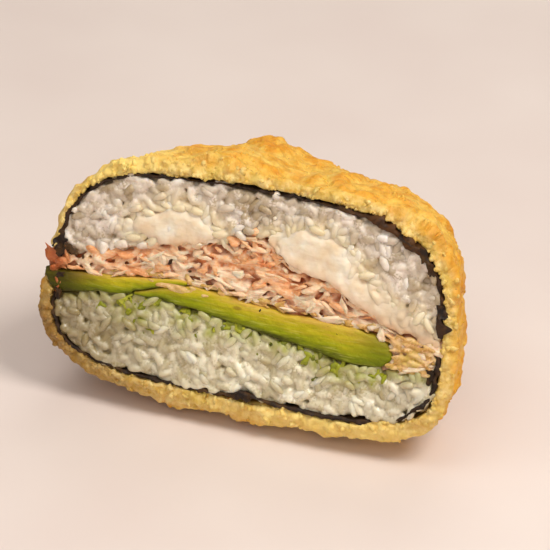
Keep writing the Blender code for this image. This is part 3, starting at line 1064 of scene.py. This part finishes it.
def flake_patterns():
    """Chunks of cooked fish: uneven slabs, ridged along the grain and torn at the ends."""
    patterns = []
    for seed, dimensions in enumerate(FLAKES):
        bpy.ops.mesh.primitive_cube_add(size=1)
        flake = named("flake")
        with editing(flake):
            bpy.ops.mesh.subdivide(number_cuts=4, smoothness=0.7)
        resize(flake, dimensions)
        for vertex in flake.data.vertices:
            along = vertex.co.x / dimensions[0] * 2
            slim = 1 - 0.2 * along ** 4 + 0.35 * ripple(Vector((along, 0, 0)), 0.8, seed * 2.3)
            vertex.co.y *= slim
            vertex.co.z *= slim
            vertex.co.z += 0.35 * math.sin(along * 2 + seed)
            fine = Vector((vertex.co.x * 0.25, vertex.co.y, vertex.co.z))
            ridge = 0.34 * ripple(fine, 0.6, seed)
            tear = 1.5 * ripple(Vector((0, vertex.co.y, vertex.co.z)), 0.6, seed + 5) * along
            vertex.co += Vector((tear, ridge, ridge))
        patterns.append(pattern_points(flake))
    return patterns


def flake_spots(depth, spacing, sizes, unruly):
    spots = []
    for x, z in places(["salmon"], spacing):
        slope = -0.14 if x > 0 else 0.04
        scale = draw.uniform(*sizes)
        size = (scale * draw.uniform(0.7, 1.2), scale, scale * draw.uniform(0.6, 1.1))
        floor = span("salmon", x) or (z, z)
        # Painted light and shade in the tint: raised towards the foot of the layer, so the top
        # under the rice reads as shaded, and raised to the right; lowered at the far left.
        low = 1 - fade(z - floor[0], 1, 6)
        tint = 0.56 + 0.4 * ripple(Vector((x, 0, z)), 5, 9) + 0.4 * low + draw.gauss(0, 0.25)
        tint += 0.2 * fade(x, 5, 25) - 0.3 * (1 - fade(x, -40, -18))
        kind = draw.randrange(len(FLAKES))
        place = pose(x, depth + draw.uniform(-0.6, 0.6), z, slope + draw.gauss(0, unruly),
                     draw.gauss(0, 0.35), draw.gauss(0, 0.6), size)
        spots.append((kind, place, unit(tint)))
    return spots


def salmon_mass():
    """Flaked fish packed into one torn, layered mass."""
    spots = flake_spots(2.6, 2.2, (0.7, 1.2), 0.25) + flake_spots(1.1, 2.2, (0.45, 0.9), 0.4)
    spots = [spot for spot in spots if spot[1].translation.x > -46.5]
    mass = fuse("salmon_flesh", flake_patterns(), spots, cell=0.3, rounds=1)
    thin_out(mass, 0.08, lambda p: p.y > 4)
    return mark_depth_shade(mass, 0.4, 2.5)


# Dark flakes at the opened left side: (x, y, z, turn, size).
TORN_END = [(-48.4, 0.5, 32, 2.7, 0.8), (-46.6, 0, 31.2, 0.6, 0.6), (-48, 0.7, 29.2, 1.2, 0.5),
            (-47.6, 0.5, 27.2, 2.2, 0.6), (-46.9, 0.3, 25.2, 1.4, 0.5),
            (-45.6, -0.1, 33.4, 2.2, 0.5), (-48.6, 1.6, 27.6, 1.5, 0.6),
            (-47.4, 1.2, 24, 1.7, 0.5)]


def salmon_flakes():
    """Loose flakes and shreds on top of it."""
    spots = [spot for spot in flake_spots(0.45, 2.2, (0.3, 0.8), 0.4)
             if draw.random() < (0.4 if spot[1].translation.x < 37 else 0.2)
             and -44 < spot[1].translation.x < 43]
    for index, (x, y, z, turn, size) in enumerate(TORN_END):
        shape = (size, size * 1.2, size * 1.4)
        spots.append((index, pose(x, y, z, turn, 0.3, 0.4 * index, shape), 0.12 * (index % 2)))
    flakes = scatter("salmon_flakes", flake_patterns(), spots)
    # Painted shade deeper behind the cut; the flakes at the far left end are darkened the same way.
    mark(flakes, "depth", lambda p: max(fade(p.y, 0.7, 2.8), 0.75 - 0.75 * fade(p.x, -47.5, -44)))
    return flakes


# ---- the avocado

def avocado(node, name, seed):
    slice_ = blank(node, name, cell=0.45, back=8, rounds=5)

    def dent(point, normal):
        front = 1 - fade(point.y, 0.2, 1.5)
        along = Vector((point.x * 0.3, point.y, point.z))
        wavy = 0.35 * ripple(along, 2.5, seed) + 0.25 * ripple(point, 4.5, seed + 2)
        torn = 0.3 * ripple(along, 0.9, seed + 1)
        return normal * (0.12 + wavy) + Vector((0, (-0.1 + wavy + torn) * front, 0))

    push(slice_, dent)

    def level(point):
        reach = span(node, point.x, max(point.y, 0.6))
        if reach is None:
            return 0.3
        low, high = reach
        return unit((point.z - low) / max(high - low, 0.5))

    mark(slice_, "level", level)
    mark(slice_, "tip", lambda p: shaded_end(node, p.x))
    return slice_


def shaded_end(node, x):
    """How dark green a slice is towards its ends."""
    if node == "avocado_left":
        return 1 - fade(x, -47, -31)
    return max(0.75 * fade(x, 24, 35), 0.5 - 0.5 * fade(x, -26, -12))


AVOCADO_BITS = 300


def avocado_crumbs():
    """Soft green bits smeared into the rice under the slices."""
    spots = []
    while len(spots) < AVOCADO_BITS:
        x, z = draw.uniform(-42, 38), draw.uniform(12, 30)
        point = Vector((x, 0, z))
        if not shows(["rice_bottom"], x, z) or draw.random() > smeared(point) * 0.8:
            continue
        size = draw.uniform(0.6, 1.7)
        turn = any_tilt(0.6)
        centre = (x, draw.uniform(0.35, 1.1), z + 0.4)
        shape = (size * draw.uniform(1, 2.2), size * 0.6, size * 0.8)
        spots.append(any_crumb(placed(centre, turn, shape)))
    return fuse("avocado_crumbs", crumb_patterns(), spots, cell=0.24, rounds=3)


# ---- sauce

MASH_ON_SLICE = 70              # over the end of the left slice


def sauce_mush():
    """Mashed fish and sauce: under the flakes, and past the end of the right slice."""
    spots = []
    for x, z in places(["salmon"], 1.05):
        floor = span("salmon", x)
        if floor is None:
            continue
        over = z - floor[0]
        right_end = x > 35 and z < 29.5
        thin = 2 + 2.2 * ripple(Vector((x, 0, 0)), 6, 2)
        if not right_end and (over > thin or x < -34 or draw.random() < 0.25):
            continue
        size = draw.uniform(0.6, 1.3)
        turn = (draw.uniform(-0.5, 0.5), 0.12 + draw.gauss(0, 0.3), draw.uniform(-0.3, 0.3))
        back = 0.3 if right_end else 0.75
        centre = (x, back + draw.uniform(-0.35, 0.45), z)
        shape = (size * draw.uniform(1.6, 3.2), size, size * 0.75)
        spots.append(any_crumb(placed(centre, turn, shape)))
    for _ in range(MASH_ON_SLICE):
        x = draw.gauss(-17, 3.6)
        z = 30.3 - 0.06 * (x + 21) + draw.gauss(0, 0.5)
        size = draw.uniform(0.5, 1.1)
        place = pose(x, draw.uniform(-0.1, 0.5), z, -0.12 + draw.gauss(0, 0.2), 0, 0,
                     (size * draw.uniform(1.8, 3.6), size, size * 0.7))
        spots.append((draw.randrange(CRUMB_KINDS), place, draw.uniform(0.2, 1)))
    mush = fuse("salmon_mush", crumb_patterns(), spots, cell=0.3, rounds=1)
    return mark_depth_shade(mush, 0.7, 2.8)


# ---- everything together

def food():
    fried = batter_finish()
    crust = batter()
    crumbs = batter_crumbs(crust)
    lay_down(crust, ["batter_crust"], fried, 75)
    mark(crumbs, "height", lambda p: 0.4)
    mark(crumbs, "cut", lambda p: 1 - fade(p.y, 0.4, 2.2))
    mark_painted_light_and_shade(crumbs)
    lay_down(crumbs, ["batter_crust"], fried, 75)

    weed = nori_finish()
    for node, name, seed in (("nori_upper", "nori_over", 1), ("nori_lower", "nori_under", 6)):
        lay_down(nori(node, name, seed), [node], weed)
    lay_down(nori_scraps(), NORI, weed)
    lay_down(nori_specks(), NORI, weed)

    # The last colour of each rice finish is the painted shade in the hollows between the grains.
    white = rice_finish("upper_rice", (166, 142, 102), (254, 241, 228),
                        (242, 222, 180), (136, 106, 58))
    greenish = rice_finish("lower_rice", (178, 162, 116), (254, 246, 222),
                           (158, 160, 22), (132, 110, 56))
    for node, finish, seed in (("rice_top", white, 1), ("rice_bottom", greenish, 2)):
        core = layer_core(node, node + "_core", cell=0.9, setback=1.7, seed=seed)
        lay_down(dress_rice(node, core), [node], finish)
        lay_down(rice_mass(node, node + "_mass"), [node], finish)
        lay_down(loose_grains(node, node + "_grains"), [node], finish)

    ivory = cream_finish()
    for node, name, seed in zip(CREAMS, ("cream_left", "cream_right"), (1, 5)):
        lay_down(cream(node, name, seed), [node], ivory)
    lay_down(cream_bits(), CREAMS, ivory)

    flesh = salmon_finish("salmon_flesh", (204, 98, 32), (248, 176, 118), (255, 230, 198))
    core = layer_core("salmon", "salmon_core", cell=0.7, setback=2.4, seed=3)
    lay_down(mark_depth_shade(core, 0.6, 2.8), ["salmon"], flesh)
    lay_down(salmon_mass(), ["salmon"], flesh, 120)
    lay_down(salmon_flakes(), ["salmon"], flesh, 120)
    lay_down(sauce_mush(), ["salmon"], sauce_finish(), 120)

    for side, seed, shade in (("left", 1, (62, 58, 0)), ("right", 4, (104, 114, 2))):
        node = "avocado_" + side
        ripe = avocado_finish(node + "_slice", shade)
        lay_down(avocado(node, "slice_" + side, seed), [node], ripe)
    lay_down(avocado_crumbs(), ["rice_bottom"], avocado_bits_finish())


# ---- table, light and camera

CAMERA_AIM = Vector((0, 0, 0.029))
CAMERA_AZIMUTH = 16.9           # these three in degrees
CAMERA_ELEVATION = 29.75
CAMERA_ROLL = 2.7
CAMERA_DISTANCE = 0.978
CAMERA_LENS = 265


def table():
    bpy.ops.mesh.primitive_plane_add(size=6, location=(0, 0, 0))
    top = named("table")
    top.data.materials.append(table_finish())


def direction(azimuth, elevation):
    """The way from the food to a lamp or the camera, for angles in degrees."""
    a, e = math.radians(azimuth), math.radians(elevation)
    return Vector((math.sin(a) * math.cos(e), -math.cos(a) * math.cos(e), math.sin(e)))


def softbox(name, azimuth, elevation, distance, size, power, warmth):
    """A square soft light that looks at the food."""
    way = direction(azimuth, elevation)
    lamp = bpy.data.lights.new(name, "AREA")
    lamp.size = size
    lamp.energy = power
    lamp.color = warmth
    holder = new_object(name, lamp)
    holder.location = way * distance + Vector((0, 0, 0.03))
    holder.rotation_euler = way.to_track_quat("Z", "Y").to_euler()


def studio():
    world = bpy.data.worlds.new("studio")
    bpy.context.scene.world = world
    world.use_nodes = True
    air = world.node_tree.nodes["Background"].inputs
    air["Color"].default_value = (1, 0.92, 0.82, 1)
    air["Strength"].default_value = 0.26
    softbox("key", 72, 58, 0.8, 0.3, 4.2, (1, 0.965, 0.91))
    softbox("top", -45, 68, 0.9, 0.5, 1.7, (1, 0.98, 0.95))
    softbox("front", 5, 34, 1, 0.6, 2.1, (1, 0.98, 0.95))
    softbox("back", 185, 50, 0.9, 0.5, 1.5, (1, 0.98, 0.94))
    bpy.context.scene.view_settings.view_transform = "Standard"


def camera():
    way = direction(CAMERA_AZIMUTH, CAMERA_ELEVATION)
    lens = bpy.data.cameras.new("camera")
    lens.lens = CAMERA_LENS
    lens.clip_end = 20
    holder = new_object("camera", lens)
    aim = way.to_track_quat("Z", "Y").to_matrix().to_4x4()
    holder.matrix_world = (Matrix.Translation(CAMERA_AIM + way * CAMERA_DISTANCE) @ aim
                           @ Matrix.Rotation(math.radians(CAMERA_ROLL), 4, "Z"))
    bpy.context.scene.camera = holder


food()
table()
studio()
camera()
